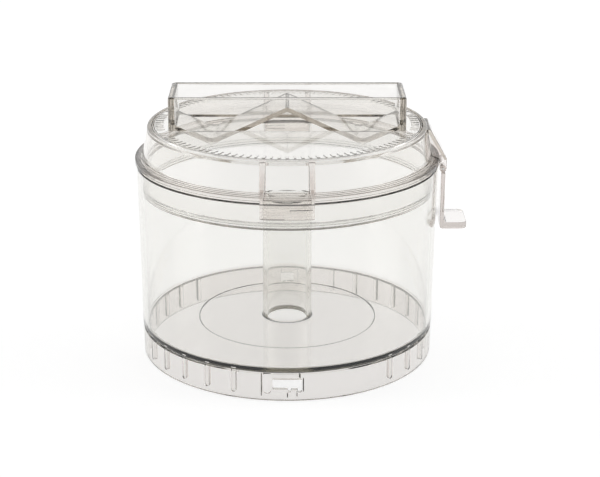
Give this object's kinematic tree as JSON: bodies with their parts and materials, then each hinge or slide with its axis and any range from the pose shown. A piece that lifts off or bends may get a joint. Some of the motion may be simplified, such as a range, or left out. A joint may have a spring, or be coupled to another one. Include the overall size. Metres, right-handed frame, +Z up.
{
  "type": "food processor work bowl with locking cover",
  "caption": "Clear round work bowl with a hollow centre hub on a ribbed bayonet collar, closed by a lift-off, turn-to-lock cover with a trough-shaped grip and a hinged side lever.",
  "frame": {"origin": "on the hub axis, in the plane of the collar's lower edge, which the bowl stands on", "axes": "+Z up along the hub axis, -Y to the front with the lock tab, +X towards the lever"},
  "size_m": [0.1635, 0.1548, 0.1323],
  "materials": {
    "clear_bowl": "clear moulded styrene plastic, polished, faint warm grey tint",
    "clear_cover": "clear moulded styrene plastic, polished, faint warm grey tint",
    "clear_lever": "clear moulded plastic, polished, faint pinkish grey tint",
    "clear_seal": "translucent silicone",
    "pin_steel": "ground stainless rod"
  },
  "bodies": {
    "bowl": {"bowl_wall": "clear_bowl", "bowl_floor": "clear_bowl", "hub_sleeve": "clear_bowl", "base_collar": "clear_bowl", "bayonet_catch_front": "clear_bowl", "bayonet_catch_back": "clear_bowl"},
    "seal": {"lid_seal": "clear_seal"},
    "cover": {"lid_ring": "clear_cover", "lid_top": "clear_cover", "grip_walls": "clear_cover", "grip_floor": "clear_cover", "front_lock_tab": "clear_cover", "back_lock_tab": "clear_cover", "lever_bracket": "clear_cover", "lever_pin": "pin_steel"},
    "lever": {"lock_lever": "clear_lever"}
  },
  "joints": [
    {"name": "lid_lift", "type": "slide", "parent": "bowl", "child": "seal", "axis": [0, 0, 1], "range_m": [0, 0.07]},
    {"name": "lid_turn", "type": "hinge", "parent": "seal", "child": "cover", "pos_m": [0, 0, 0.1], "axis": [0, 0, 1], "range_deg": [0, 9.7]},
    {"name": "lever_swing", "type": "hinge", "parent": "cover", "child": "lever", "pos_m": [0.076, 0, 0.0955], "axis": [0, -1, 0], "range_deg": [0, 40]}
  ]
}
